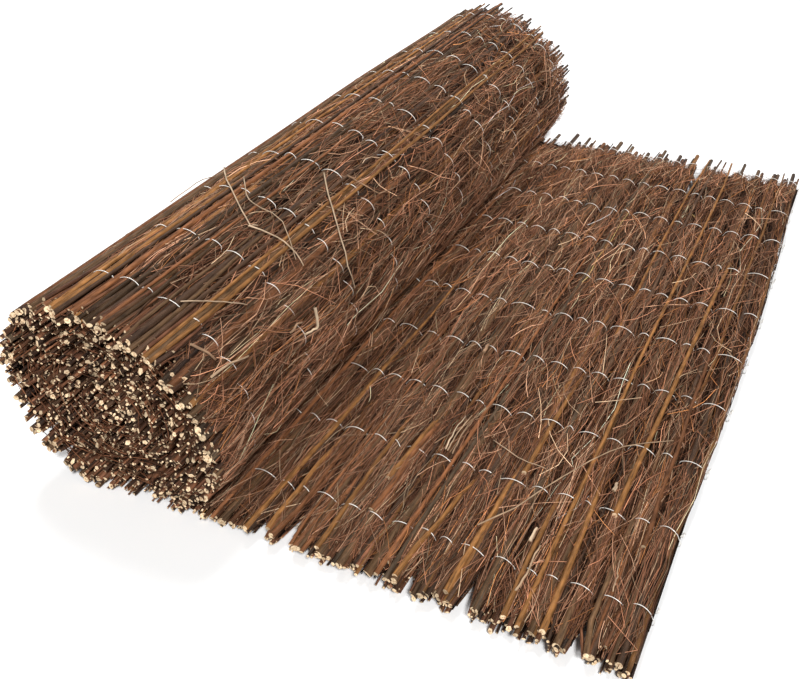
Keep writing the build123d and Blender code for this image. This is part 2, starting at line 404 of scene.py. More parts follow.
# %% Ends and wire rows
FAR_SHORT, FAR_SHORT_BESIDE, FAR_PAST = 0.008, 0.036, 0.024
NEAR_PAST, FOOT_PAST, ROLL_FOOT = 0.003, 0.005, 0.53
WIRE_EDGE, WIRE_PITCH, PINCH_WIDTH = 0.0685, 0.100, 0.015
wire_rows = -HALF + WIRE_EDGE + WIRE_PITCH * np.arange(len(wires))


def far_limit(length):
    """How far the brush and sticks reach: less beside the roll, and a little further on the roll."""
    flat_part = HALF - FAR_SHORT - FAR_SHORT_BESIDE * fade(length, 0.33, 0.05)
    return np.where(length < FLAT_END, flat_part, HALF + FAR_PAST)


def near_limit(length):
    """How far the butts reach: a little further at the foot of the roll."""
    at_foot = np.exp(-(((length - ROLL_FOOT) / 0.06) ** 2))
    return HALF + np.where(length < ROLL_END, NEAR_PAST, 0) + FOOT_PAST * at_foot


def pinch(y):
    """1 at a row of wire, and 0 between two rows."""
    nearest = np.clip(np.rint((y - wire_rows[0]) / WIRE_PITCH), 0, len(wire_rows) - 1)
    return np.exp(-(((y - wire_rows[0] - nearest * WIRE_PITCH) / PINCH_WIDTH) ** 2))


print("rows at", [round(float(y), 2) for y in wire_rows])

# %% [markdown]
# ## Bark and twigs
# Bark is streaked along the stick, blotched, and dotted with pale pores. One node group gives that
# to the thick sticks, the thin twigs and the mass of painted shade behind them, each with its own tint
# and contrast. The tint comes from an attribute that each stick carries, so that neighbours differ; in
# the brush and the laid sticks it also carries painted shade by depth.

# %% A node group for bark
STREAKS, BLOTCHES, PORES = (900, 900, 60), (330, 330, 70), (420, 420, 160)
PORE_COLOUR = (0.50, 0.39, 0.27, 1)
bark = bpy.data.node_groups.new("bark_grain", "ShaderNodeTree")
for kind, name in (("Vector", "Grain"), ("Color", "Tint"), ("Float", "Contrast"), ("Float", "Pores")):
    bark.interface.new_socket(name, in_out="INPUT", socket_type="NodeSocket" + kind)
for kind, name in (("Color", "Color"), ("Float", "Roughness"), ("Float", "Height")):
    bark.interface.new_socket(name, in_out="OUTPUT", socket_type="NodeSocket" + kind)
tree = Tree(bark)
into = tree.nodes.new("NodeGroupInput")
out = tree.nodes.new("NodeGroupOutput")
streak = tree.noise(tree.scaled(into.outputs["Grain"], STREAKS), 1.0, 3.0)
blotch = tree.noise(tree.scaled(into.outputs["Grain"], BLOTCHES), 1.0, 3.0)
both = tree.maths("ADD", tree.maths("MULTIPLY", streak, 0.4), tree.maths("MULTIPLY", blotch, 0.6))
low = tree.maths("SUBTRACT", 1.0, into.outputs["Contrast"])
high = tree.maths("ADD", 1.0, into.outputs["Contrast"])
tinted = tree.shaded(into.outputs["Tint"], tree.remap(both, (0.34, 0.66), (low, high)))
pores = tree.node("TexVoronoi", {"Vector": tree.scaled(into.outputs["Grain"], PORES)})
dots = tree.remap(pores.outputs["Distance"], (0.16, 0.10), (0.0, 1.0))
dots = tree.maths("MULTIPLY", dots, into.outputs["Pores"])
tree.feed(out.inputs["Color"], tree.mixed(dots, tinted, PORE_COLOUR))
tree.feed(out.inputs["Roughness"], tree.remap(both, (0.3, 0.7), (0.72, 0.5)))
tree.feed(out.inputs["Height"], tree.maths("ADD", both, tree.maths("MULTIPLY", dots, 0.4)))
print("group:", bark.name, len(bark.nodes), "nodes")

# %% Materials for sticks, twigs and the mass behind them
BARK_RELIEF = 0.0006


def barked(name, contrast, pores, bump, specular):
    """A material with the bark group, for pieces that carry tint and grain attributes."""
    material, tree, shader = new_material(name)
    carried = {"Grain": tree.attribute("grain", "Vector"), "Tint": tree.attribute("tint", "Color")}
    grain = tree.node("Group", {**carried, "Contrast": contrast, "Pores": pores}, node_tree=bark)
    tree.feed(shader.inputs["Base Color"], grain.outputs["Color"])
    tree.feed(shader.inputs["Roughness"], grain.outputs["Roughness"])
    shader.inputs["Specular IOR Level"].default_value = specular
    relief = tree.node("Bump", {"Strength": bump, "Distance": BARK_RELIEF, "Height": grain.outputs["Height"]})
    tree.feed(shader.inputs["Normal"], relief.outputs["Normal"])
    return material


stick_bark = barked("stick_bark", contrast=0.62, pores=0.6, bump=0.8, specular=0.12)
twig_bark = barked("twig_bark", contrast=0.45, pores=0.0, bump=0.2, specular=0.06)
# The mass behind the twigs, whose near-black tint is painted shade
painted_shade_mass = barked("painted_shade_mass", contrast=0.6, pores=0.0, bump=0.8, specular=0.02)
print("bark materials: stick, twig, mass")

# %% [markdown]
# ## Cut wood
# The butts are cut across, and the pale wood shows: cream, with faint rings, a darker pith and a
# rim of bark. Each cut face has a middle point, and an attribute that runs from 0 there to 1 at
# the rim gives the rings. Every stick has its own place in the grain, so a very broad noise there
# makes one cut fresh and its neighbour weathered.

# %% Cut wood
STAINED_WOOD, FRESH_WOOD, BARK_RIM = (0.40, 0.22, 0.11, 1), (0.92, 0.71, 0.46, 1), (0.13, 0.07, 0.04, 1)
RING_TURNS = 24.0
cut_wood, tree, shader = new_material("cut_wood")
radial = tree.attribute("radial", "Fac")
grain = tree.attribute("grain", "Vector")
fleck = tree.noise(tree.scaled(grain, (500, 500, 500)), 1.0, 2.0)
rings = tree.maths("SINE", tree.maths("MULTIPLY", radial, RING_TURNS), 0.0)
toned = tree.maths("ADD", tree.maths("MULTIPLY", rings, 0.05), fleck)
pith = tree.remap(radial, (0.22, 0.06), (0.0, 0.22))
toned = tree.maths("SUBTRACT", toned, pith)
wood = tree.ramp(toned, (0.25, STAINED_WOOD), (0.58, FRESH_WOOD))
rim = tree.remap(radial, (0.88, 0.99), (0.0, 0.5))
age = tree.remap(tree.noise(grain, 1.4, 0.0), (0.36, 0.62), (0.6, 1.1))
tree.feed(shader.inputs["Base Color"], tree.shaded(tree.mixed(rim, wood, BARK_RIM), age))
shader.inputs["Roughness"].default_value = 0.85
shader.inputs["Specular IOR Level"].default_value = 0.1
print("cut wood:", len(tree.nodes), "nodes")

# %% [markdown]
# ## Many tubes in one mesh
# A stick, a twig and a wire are all tubes: a path with a radius at each of its points. Thousands
# of curve objects would be slow, so one function takes all paths of a piece as an array and
# writes a single mesh. Each tube keeps its tint, its own stretch of grain and, where it is cut, a
# fan of cut wood. It also gets its own cell in a map, so that the colours can be baked.

# %% Rings of points around paths
LEVEL = np.array([0.12, 0.05, 1.0])  # a way that no path follows, to lay out the rings by


def unit(vectors):
    return vectors / (np.linalg.norm(vectors, axis=2, keepdims=True) + 1e-12)


def rings_around(paths, radii, sides, slant, outward):
    """Points round each path, and the directions of each ring's corners."""
    along = unit(np.gradient(paths, axis=1))
    across = unit(np.cross(along, LEVEL if outward is None else outward))
    up = np.cross(across, along)
    first_angle = 0 if outward is None else -math.pi / 6
    angle = first_angle + np.arange(sides) * 2 * math.pi / sides
    ring_a, ring_b = np.cos(angle), np.sin(angle)
    offsets = across[:, :, None, :] * ring_a[:, None] + up[:, :, None, :] * ring_b[:, None]
    places = paths[:, :, None, :] + radii[:, :, None, None] * offsets
    for end, first in ((0, 0), (-1, 2)):
        lean = (slant[:, first, None] * ring_a + slant[:, first + 1, None] * ring_b) * radii[:, end, None]
        places[:, end] += lean[:, :, None] * along[:, end, None, :]
    return places, ring_a, ring_b


print("rings are laid out by", LEVEL.tolist())

# %% Meshes from arrays
POINT_VALUES = {
    "tint": ("FLOAT_COLOR", "color"), "grain": ("FLOAT_VECTOR", "vector"), "radial": ("FLOAT", "value"),
}


def set_values(mesh, values):
    """Writes point attributes from arrays, by name."""
    for name, numbers in values.items():
        kind, key = POINT_VALUES[name]
        kept = mesh.attributes.new(name, kind, "POINT")
        kept.data.foreach_set(key, numbers.astype(np.float32).reshape(-1))


def add_piece(name, mesh):
    """Puts a mesh into the scene as a piece of the screen, under the root body."""
    piece = bpy.data.objects.new(name, mesh)
    bpy.context.scene.collection.objects.link(piece)
    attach(piece, "root")
    return piece


def write_mesh(name, places, faces, sizes, slots, uvs, values, materials):
    """One mesh from arrays, with a bake map and point attributes."""
    mesh = bpy.data.meshes.new(name)
    mesh.vertices.add(len(places))
    mesh.vertices.foreach_set("co", places.astype(np.float32).reshape(-1))
    mesh.loops.add(len(faces))
    mesh.loops.foreach_set("vertex_index", faces.astype(np.int32))
    mesh.polygons.add(len(sizes))
    starts = np.concatenate([[0], np.cumsum(sizes)[:-1]])
    mesh.polygons.foreach_set("loop_start", starts.astype(np.int32))
    mesh.polygons.foreach_set("material_index", slots.astype(np.int32))
    mesh.polygons.foreach_set("use_smooth", slots == 0)
    mesh.uv_layers.new(name="OFBake").data.foreach_set("uv", uvs.astype(np.float32).reshape(-1))
    set_values(mesh, values)
    mesh.update(calc_edges=True)
    mesh.validate()
    for material in materials:
        mesh.materials.append(material)
    return mesh


print("each point carries:", ", ".join(POINT_VALUES))

# %% Side faces and cut ends
CUT_SPOT = 0.06  # radius of a cut end in the map


def together(*parts):
    """Arrays side by side on a new last axis."""
    return np.stack(np.broadcast_arrays(*parts), axis=-1)


def side_faces(count, points, sides, seen):
    """The four corners of each side face, and their places in the tube's own cell of the map."""
    tube = np.arange(count)[:, None, None]
    row = np.arange(points - 1)[None, :, None]
    turn = np.arange(seen)[None, None, :]
    this_ring = (tube * points + row) * sides
    next_ring = this_ring + sides
    after = (turn + 1) % sides
    quads = together(this_ring + turn, next_ring + turn, next_ring + after, this_ring + after)
    in_u = 0.1 + 0.8 * together(turn, turn, turn + 1, turn + 1) / sides
    in_v = 0.1 + 0.7 * together(row, row + 1, row + 1, row) / (points - 1)
    return quads, together(in_u, in_v)


def cut_faces(end, ring, centre, ring_a, ring_b):
    """A fan from each middle point over the ring at one end, and its places in the map."""
    spot = np.stack([ring_a, ring_b], axis=1) * CUT_SPOT
    pair, spots = (ring, np.roll(ring, -1, axis=1)), (spot, np.roll(spot, -1, axis=0))
    if end == 1:
        pair, spots = pair[::-1], spots[::-1]
    fan = together(centre[:, None], *pair)
    return fan, np.stack([np.zeros_like(spot), *spots], axis=1) + (0.3 + 0.4 * end, 0.9)


print("a cut end takes", 2 * CUT_SPOT, "of its cell in the map")

# %% The tube builder
NO_SLANT = (0.0, 0.0, 0.0, 0.0)
TINT_RANGE = (0.004, 0.9)


def tubes(
    name, paths, radii, sides, tints, materials, caps=(False, False), slant=None, seed=0, outward=None
):
    """paths: tubes x points x 3. radii: tubes x points. tints: tubes x 3. caps: near end, far end.

    With outward given, the side that faces away from it is left open, because nobody sees it."""
    count, points = radii.shape
    slant = np.tile(NO_SLANT, (count, 1)) if slant is None else slant
    places, ring_a, ring_b = rings_around(paths, radii, sides, slant, outward)
    step = np.linalg.norm(np.diff(paths, axis=1), axis=2)
    walked = np.concatenate([np.zeros((count, 1)), np.cumsum(step, axis=1)], axis=1)
    own_grain = np.random.default_rng(seed).uniform(0, 5, (count, 1, 3))
    grain = np.empty((count, points, sides, 3))
    grain[..., 0] = radii[:, :, None] * ring_a
    grain[..., 1] = radii[:, :, None] * ring_b
    grain[..., 2] = walked[:, :, None]
    grain = grain.reshape(count, points * sides, 3) + own_grain

    columns = int(math.ceil(math.sqrt(count)))
    cell = np.stack([np.arange(count) % columns, np.arange(count) // columns], axis=1)
    quads, uv = side_faces(count, points, sides, sides if outward is None else sides - 1)
    faces, sizes = [quads.reshape(-1)], [np.full(quads.size // 4, 4)]
    uvs = [(uv + cell[:, None, None, None, :]).reshape(-1, 2)]
    vertices, grains = [places.reshape(-1, 3)], [grain.reshape(-1, 3)]
    made = count * points * sides
    for end in (0, 1):
        if not caps[end]:
            continue
        ring = np.arange(count)[:, None] * points * sides + end * (points - 1) * sides + np.arange(sides)
        fan, fan_uv = cut_faces(end, ring, made + np.arange(count), ring_a, ring_b)
        made += count
        faces.append(fan.reshape(-1))
        sizes.append(np.full(ring.size, 3))
        uvs.append((fan_uv[None] + cell[:, None, None, :]).reshape(-1, 2))
        # Ring 0 is the first and ring -1 the last
        vertices.append(places[:, -end].mean(axis=1))
        grains.append(grain.reshape(count, points, sides, 3)[:, -end].mean(axis=1))
    vertices, faces, sizes = np.concatenate(vertices), np.concatenate(faces), np.concatenate(sizes)
    tint = np.ones((len(vertices), 4))
    tint[:, :3] = np.concatenate([np.repeat(tints, points * sides, axis=0)] + [tints] * sum(caps))
    radial = np.ones(len(vertices))
    radial[count * points * sides:] = 0
    values = {"tint": tint, "grain": np.concatenate(grains), "radial": radial}
    slots = np.where(sizes == 3, 1, 0)
    mesh = write_mesh(name, vertices, faces, sizes, slots, np.concatenate(uvs) / columns, values, materials)
    print(f"{name}: {count} tubes, {int((sizes - 2).sum())} triangles")
    return add_piece(name, mesh)


def tones(rng, count, colours, shares, spread_by):
    """A tint for each tube, from a few colours and their shares, each a little lighter or darker."""
    picked = rng.choice(len(colours), count, p=np.array(shares) / sum(shares))
    light = np.exp(rng.normal(0, spread_by, (count, 1)))
    return np.clip(np.array(colours)[picked] * light, *TINT_RANGE)


print("tints stay between", TINT_RANGE)

# %% [markdown]
# ## A sheet of painted shade behind the twigs
# Between the twigs one sees only brush in deep shade, never through the mat. A thin ridged band along the
# whole line stands for that hidden brush, with a near-black tint that is painted shade. It stops well
# short of both ends, where the butts show as single sticks.

# %% Hidden brush
MASS_END, NOTCH_MARGIN = 0.455, 0.004
MASS_VALLEY, MASS_RIDGE = 0.0012, 0.0024
# Painted shade: a near-black tint for the brush deep in the mat
MASS_SHADE_TINT = (0.009, 0.0045, 0.0027, 1.0)
SAMPLES = 6  # in each bundle
at = np.arange(bundle_count * SAMPLES + 1) * BUNDLE / SAMPLES
ridge = MASS_VALLEY + MASS_RIDGE * np.abs(np.sin(math.pi * at / BUNDLE))
valley = np.searchsorted(midways, at)
from_valley = np.abs(at - valleys[valley])


def mass_end(widths, depths):
    """How far the mass reaches towards one end: less where a gap is open."""
    open_to = depths[valley] * np.clip(1 - from_valley / (widths[valley] / 2 + NOTCH_MARGIN), 0, 1)
    return np.minimum(MASS_END, HALF - open_to)


rings = []
for y in (-mass_end(near_width, near_depth), mass_end(far_width, far_depth)):
    rings += [on_mat(at, y, ridge, 1), on_mat(at, y, ridge, -1)[::-1]]
verts = np.concatenate(rings)
around = 2 * len(at)
faces = [(i, around + i, around + (i + 1) % around, (i + 1) % around) for i in range(around)]
for i in range(len(at) - 1):
    faces.append((i, i + 1, around - 2 - i, around - 1 - i))
    faces.append((around + i, 2 * around - 1 - i, 2 * around - 2 - i, around + i + 1))
mass_mesh = bpy.data.meshes.new("hidden_brush")
mass_mesh.from_pydata(verts.tolist(), [], faces)
shell = bmesh.new()
shell.from_mesh(mass_mesh)
bmesh.ops.recalc_face_normals(shell, faces=shell.faces)
shell.to_mesh(mass_mesh)
shell.free()
grain = np.stack([np.tile(np.concatenate([at, at[::-1]]), 2), np.zeros(2 * around), verts[:, 1]], axis=1)
set_values(mass_mesh, {"tint": np.tile(MASS_SHADE_TINT, (len(verts), 1)), "grain": grain})
mass_mesh.materials.append(painted_shade_mass)
hidden_brush = add_piece("hidden_brush", mass_mesh)
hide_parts("brush_mat")
print("hidden brush:", len(verts), "points")

# %% [markdown]
# ## Thick sticks
# Most bundles have one stout stick that stands proud of the brush, as a solid in the frame. Here
# it becomes a real one: a little crooked, tapered towards its tip, with bark and two cut ends. The
# box of a stick on the roll is wider than it is high by as much as the stick runs askew.

# %% Sticks that the frame has
OLIVE, GOLDEN, UMBER = (0.096, 0.052, 0.025), (0.210, 0.094, 0.030), (0.052, 0.027, 0.015)
RUSSET, GREY = (0.132, 0.052, 0.021), (0.086, 0.055, 0.032)
STICK_COLOURS = (OLIVE, GOLDEN, UMBER, RUSSET, GREY)
KNOTS = 0.05  # how unevenly thick a stick is
BENDS = 1.3  # slowest wave along a stick


def crooked(rng, count, points, size):
    """Slow sideways wandering of a stick, zero on average."""
    t = np.linspace(0, 1, points)
    total = np.zeros((count, points))
    for wave in (1, 2, 3):
        phase = rng.uniform(0, 2 * math.pi, (count, 1))
        total += rng.normal(0, size / wave, (count, 1)) * np.sin(2 * math.pi * BENDS * wave * t + phase)
    return total


def cut_sticks(name, rng, paths, radii, sides, tints, askew, seed, caps=(True, True)):
    """Sticks with bark, and with ends cut more or less askew."""
    slant = rng.normal(0, askew, (len(paths), 4))
    return tubes(name, paths, radii, sides, tints, (stick_bark, cut_wood), caps, slant, seed)


rng = np.random.default_rng(11)
count, points = len(rods), 15
lows = np.array([tuple(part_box(name)[0]) for name in rods])
highs = np.array([tuple(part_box(name)[1]) for name in rods])
middles, sizes = (lows + highs) / 2, highs - lows
thick = 0.82 * sizes[:, 2]
slanted = np.maximum(sizes[:, 0] - sizes[:, 2] - 0.001, 0)
t = np.linspace(0, 1, points)
paths = np.empty((count, points, 3))
paths[..., 0] = middles[:, 0, None] + slanted[:, None] * (t - 0.5) + crooked(rng, count, points, 0.0008)
paths[..., 1] = lows[:, 1, None] + sizes[:, 1, None] * t
paths[..., 2] = middles[:, 2, None] + crooked(rng, count, points, 0.0005)
taper = 1.0 - 0.28 * t
radii = thick[:, None] / 2 * taper * (1 + KNOTS * rng.normal(0, 1, (count, points)))
paths[..., 2] = np.maximum(paths[..., 2], radii + 0.0002)
tints = tones(rng, count, STICK_COLOURS, (6, 2, 3, 2, 3), 0.15)
outer_sticks = cut_sticks("outer_sticks", rng, paths, radii, 9, tints, 0.18, 1)
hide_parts(*rods)

# %% [markdown]
# ## More sticks
# Beside each stout stick lie four or five more. Nearly all start at the near end, where the butts
# are cut level. About half reach the far end, and the rest run out thinner somewhere along the mat.
# The solids don't have them, so they are placed bundle by bundle. Those that lie deep get painted
# shade, and the highest a little painted light.

# %% Sticks beside them
BARE_FROM, BARE_TO = length_at_turn(40), length_at_turn(225)
SIDE_SUNK = 0.0025  # sticks lie deeper on the roll's right side
END_SUNK = 0.003  # and where they run out


def laid_sticks(name, chosen, side, each, seed, tops, sizes, reach_far, shares):
    """Long sticks in these bundles, with their upper sides between two heights."""
    rng = np.random.default_rng(seed)
    bundle = np.repeat(chosen, each)
    count, points = len(bundle), 13
    place = np.tile(np.arange(each), len(chosen))
    at = (bundle + (place + rng.uniform(0.15, 0.85, count)) / each) * BUNDLE
    thick = rng.uniform(*sizes, count)
    top = rng.uniform(*tops, count) - SIDE_SUNK * (at > BARE_TO)
    goes_far = rng.random(count) < reach_far
    start = -near_limit(at) + rng.uniform(0.0, 0.008, count)
    end = np.where(goes_far, far_limit(at) - rng.uniform(0.003, 0.034, count), rng.uniform(-0.15, 0.4, count))
    late = goes_far & (rng.random(count) < 0.3)
    start = np.where(late, rng.uniform(-0.3, 0.2, count), start)
    t = np.linspace(0, 1, points)
    y = start[:, None] + (end - start)[:, None] * t
    last = np.where(goes_far, 0.62, 0.35)[:, None]
    radii = thick[:, None] / 2 * (1 + (last - 1) * t) * (1 + KNOTS * rng.normal(0, 1, (count, points)))
    drift = rng.normal(0, 0.0045, (count, 1)) * (t - 0.5)
    length = open_gaps(at[:, None] + drift + crooked(rng, count, points, 0.0011), y, radii)
    sunk = np.where(goes_far, 0, END_SUNK)[:, None] * t**2
    sunk = sunk + np.where(late, END_SUNK, 0)[:, None] * (1 - t) ** 2
    height = top[:, None] - radii - sunk + crooked(rng, count, points, 0.0005)
    paths = on_mat(np.maximum(length, 0.003), y, height, side)
    paths[..., 2] = np.maximum(paths[..., 2], radii + 0.0005)
    # Painted shade and light: deep sticks darker, the highest a little lighter
    deep = 1 - np.clip((top - tops[0]) / (tops[1] - tops[0]), 0, 1)[:, None]
    tints = tones(rng, count, STICK_COLOURS, shares, 0.2) * (1.15 - 0.9 * deep)
    cut_sticks(name, rng, paths, radii, 8, tints, 0.2, seed)


apron_bundles = np.arange(0, round(APRON_END / BUNDLE))
roll_bundles = np.arange(int(math.ceil(ROLL_START / BUNDLE)), int(ROLL_END / BUNDLE))
laid_sticks(
    "apron_sticks", apron_bundles, side=-1, each=4, seed=21,
    tops=(0.0050, 0.0110), sizes=(0.0028, 0.0054), reach_far=0.5, shares=(3, 3, 3, 5, 0.6),
)
laid_sticks(
    "roll_sticks", roll_bundles, side=1, each=5, seed=22,
    tops=(0.0066, 0.0112), sizes=(0.0036, 0.0068), reach_far=0.55, shares=(5, 3, 3, 3, 1),
)

# %% [markdown]
# ## Golden sticks on the flat part
# A few smooth golden sticks catch the eye on the flat part. In the photograph each shows for a
# stretch and then dives under the brush, so each is given by where it shows, and it sinks beyond.

# %% Golden sticks
# For each: x where it starts to show and where it dives, then y at both
GOLDEN_PLACES = (
    (0.127, 0.127, -0.500, -0.398), (0.180, 0.177, -0.501, -0.341), (0.202, 0.206, -0.437, -0.322),
    (0.257, 0.268, -0.500, -0.398), (0.304, 0.307, -0.497, -0.362), (0.358, 0.355, -0.501, -0.376),
    (0.393, 0.388, -0.501, -0.341), (0.410, 0.418, -0.345, 0.077), (0.444, 0.439, -0.373, -0.110),
    (0.197, 0.203, -0.391, -0.300), (0.314, 0.316, -0.327, -0.210),
)
DIVE, DIVE_DEPTH, GOLDEN_TOP = 0.10, 0.006, 0.0112
rng = np.random.default_rng(23)
x_from, x_to, y_from, y_to = np.array(GOLDEN_PLACES).T[:, :, None]
count, points = len(GOLDEN_PLACES), 12
t = np.linspace(0, 1, points)
y = y_from + (y_to + DIVE - y_from) * t
shown = (y - y_from) / (y_to - y_from)
x = x_from + (x_to - x_from) * shown + crooked(rng, count, points, 0.0007)
radii = rng.uniform(0.0024, 0.0032, (count, 1)) * (1 - 0.25 * t)
height = GOLDEN_TOP - radii - DIVE_DEPTH * np.clip(shown - 1, 0, 1) * 2
paths = np.stack([x, y, mat_z + height], axis=2)
tints = tones(rng, count, (GOLDEN, RUSSET), (4, 1), 0.12)
cut_sticks("golden_sticks", rng, paths, radii, 9, tints, 0.15, 23)

# %% [markdown]
# ## Butts
# At both ends of every bundle, down to the middle of the roll, the cut butts stand close together.
# They are short stubs on a jittered grid across the bundle, each with a face of pale wood. Only
# the ends show, so a stub is just long enough to hide where it stops.

# %% Butts
STUB_BARK = ((0.095, 0.039, 0.020), (0.140, 0.058, 0.028), (0.070, 0.035, 0.018), (0.034, 0.016, 0.009))
WHOLE_DEPTH, OUTER_DEPTH = (-0.0061, 0.0061), (-0.0020, 0.0085)


def stubs(name, rng, paths, radius, seed):
    """Short sticks with one cut face each."""
    radii = radius[:, None] * np.ones(paths.shape[1])
    tints = tones(rng, len(paths), STUB_BARK, (3, 3, 2, 3), 0.3)
    cut_sticks(name, rng, paths, radii, 5, tints, 0.35, seed, (True, False))


def butts(name, way, seed, chosen, columns, rows, keep, sizes, stout, stout_sizes, back, heights):
    """Stubs across these bundles. way is -1 at the near end and 1 at the far end."""
    rng = np.random.default_rng(seed)
    grid = np.meshgrid(chosen, np.arange(columns), np.arange(rows), indexing="ij")
    kept = rng.random(grid[0].size) < keep
    bundle, column, row = (v.reshape(-1)[kept] for v in grid)
    count, points = len(bundle), 3
    at = (bundle + 0.03 + 0.94 * (column + rng.uniform(0.0, 1.0, count)) / columns) * BUNDLE
    height = heights[0] + (heights[1] - heights[0]) * (row + rng.uniform(0.1, 0.9, count)) / rows
    is_stout = rng.random(count) < stout
    radius = np.where(is_stout, rng.uniform(*stout_sizes, count), rng.uniform(*sizes, count)) / 2
    stout_back, thin_back = back / 4 + rng.uniform(0.0, 0.014, count), back + rng.uniform(0.0, 0.026, count)
    limit = near_limit(at) if way < 0 else far_limit(at)
    tip = limit - np.where(is_stout, stout_back, thin_back) - 0.006 * rng.random(bundle_count)[bundle]
    long = rng.uniform(0.05, 0.10, count)
    t = np.linspace(0, 1, points)
    y = way * (tip[:, None] - long[:, None] * t)
    lean = rng.normal(0, 0.0024, (count, 1)) * (1 - t)
    length = open_gaps(at[:, None] + lean, y, radius[:, None])
    rise = height[:, None] * (1 - 0.3 * t) + rng.normal(0, 0.0012, (count, 1)) * (1 - t)
    paths = on_mat(np.clip(length, 0.002, mat_length - 0.002), y, rise, 1)
    paths[..., 2] = np.maximum(paths[..., 2], radius[:, None] + 0.0003)
    stubs(name, rng, paths, radius, seed)


all_bundles = np.arange(bundle_count)
rim_bundles = np.arange(round(FLAT_END / BUNDLE), roll_bundles[-1] + 2)
butts(
    "near_butts", way=-1, seed=31, chosen=all_bundles, columns=10, rows=5, keep=0.62, back=0.0,
    sizes=(0.0014, 0.0033), stout=0.11, stout_sizes=(0.0038, 0.0062), heights=WHOLE_DEPTH,
)
butts(
    "rim_butts", way=-1, seed=36, chosen=rim_bundles, columns=12, rows=3, keep=0.75, back=0.0,
    sizes=(0.0020, 0.0040), stout=0.25, stout_sizes=(0.0040, 0.0062), heights=OUTER_DEPTH,
)
butts(
    "far_butts", way=1, seed=32, chosen=all_bundles, columns=7, rows=3, keep=0.7, back=0.034,
    sizes=(0.0015, 0.0034), stout=0.15, stout_sizes=(0.0042, 0.0066), heights=WHOLE_DEPTH,
)

# %% [markdown]
# ## The middle of the roll
# The first bundle is wound so tightly that the roll has no hole: its middle is a knot of butts,
# with many thin strands that spring out of the end and curl along the turns.

# %% Core and strands
def core_butts(name, way, count, seed):
    """Stubs that fill the oval inside the last turn, at one end."""
    rng = np.random.default_rng(seed)
    angle = rng.uniform(0, 2 * math.pi, count)
    out = CORE_HALF_HEIGHT * np.sqrt(rng.random(count))
    radius = rng.uniform(0.0010, 0.0026, count)
    t = np.linspace(0, 1, 3)
    tip = HALF - rng.uniform(0.002, 0.024, count)
    y = way * (tip[:, None] - 0.08 * t) - ROLL_CREEP
    x = ROLL_X + ROLL_ASPECT * out * np.cos(angle) - ROLL_LEAN * out * np.sin(angle)
    z = roll_z + out * np.sin(angle)
    loose = rng.normal(0, 0.002, (count, 1)) * (1 - t)
    paths = np.stack([x[:, None] + ROLL_SKEW * y + loose, y, z[:, None] + loose[::-1]], axis=2)
    stubs(name, rng, paths, radius, seed)


core_butts("near_core", way=-1, count=110, seed=33)
core_butts("far_core", way=1, count=90, seed=34)

rng = np.random.default_rng(35)
count, points = 420, 5
t = np.linspace(0, 1, points)
at = rng.uniform(FLAT_END, mat_length - 0.06, (count, 1))
length = at + rng.uniform(0.008, 0.045, (count, 1)) * t
y = -HALF + rng.uniform(0.002, 0.022, (count, 1)) + rng.normal(0, 0.007, (count, 1)) * t
rise = rng.uniform(-0.006, 0.006, (count, 1)) + rng.normal(0, 0.004, (count, 1)) * t
radii = rng.uniform(0.0004, 0.0009, (count, 1)) * (1 - 0.4 * t)
paths = on_mat(length, np.maximum(y, -HALF), rise, 1)
tints = tones(rng, count, STUB_BARK, (4, 4, 1, 1), 0.4)
tubes("end_strands", paths, radii, 3, tints, (twig_bark,), seed=35)

# %% [markdown]
# ## The brush and its colours
# Heather twigs run from dark red-brown to grey-gold. Twigs that lie deep get painted shade, darker and
# redder, and the topmost a little painted light; that gives the brush its depth. Beside the roll the flat
# part's brush gets painted shade too. It lies thin near the butts and on the roll's bare top, and thick
# on the side that faces the flat part.

# %% Brush helpers
HEATHER = (
    (0.240, 0.112, 0.064), (0.164, 0.070, 0.038), (0.335, 0.190, 0.118), (0.49, 0.345, 0.220),
    (0.255, 0.106, 0.039),
)
HEATHER_SHARES = (5, 4, 3.2, 1.0, 1.6)
BRUSH_FLOOR = 0.001  # no twig reaches lower above the ground
NOOK_FROM, NOOK_SHADE = 0.19, 0.34


def brush_rise(length, y):
    """Share of its full height that the brush has: less near the butts, most on the roll's right side."""
    bare = np.where((length > BARE_FROM) & (length < BARE_TO), -0.470, -0.535)
    on_side = fade(length, BARE_TO, 0.04)
    on_top = fade(length, BARE_FROM, 0.04) * (1 - on_side)
    return np.clip(0.35 + (y - bare) / 0.10, 0.35, 1) * (1 + 0.25 * on_side - 0.16 * on_top)


def painted_depth_shade(layer):
    """Painted shade and light: twigs deep in the brush are darker and redder, the topmost a little lighter.
    """
    tone = 0.012 + 1.30 * layer**4.8
    return tone * np.concatenate([layer**0, 0.80 + 0.20 * layer, 0.64 + 0.36 * layer], axis=1)


def painted_nook_shade(length, y):
    """Painted shade: on the flat part, the brush beside the roll is darker, most of all towards the near end.
    """
    beside = fade(length, NOOK_FROM, 0.12) * (length < FLAT_END)
    near = fade(y, 0.05, -0.35)
    return 1 - NOOK_SHADE * (beside * near).mean(axis=1, keepdims=True)


# Heather's own colours, times painted shade by depth and beside the roll
def brush_tints_and_shade(rng, layer, length, y):
    own = tones(rng, len(layer), HEATHER, HEATHER_SHARES, 0.5)
    return own * painted_depth_shade(layer) * painted_nook_shade(length, y)


def laid_strands(name, length, y, height, side, radii, tints, seed):
    """Strands on the mat, without the ones that would cross an open gap."""
    kept = clear_of_gaps(length, y)
    length, y, height, radii, tints = (values[kept] for values in (length, y, height, radii, tints))
    paths = on_mat(open_gaps(length, y), y, height, side)
    paths[..., 2] = np.maximum(paths[..., 2], BRUSH_FLOOR)
    outward = on_mat(length, y, height + 0.001, side) - on_mat(length, y, height, side)
    tubes(name, paths, radii, 3, tints, (twig_bark,), seed=seed, outward=outward)


print("heather colours:", len(HEATHER))

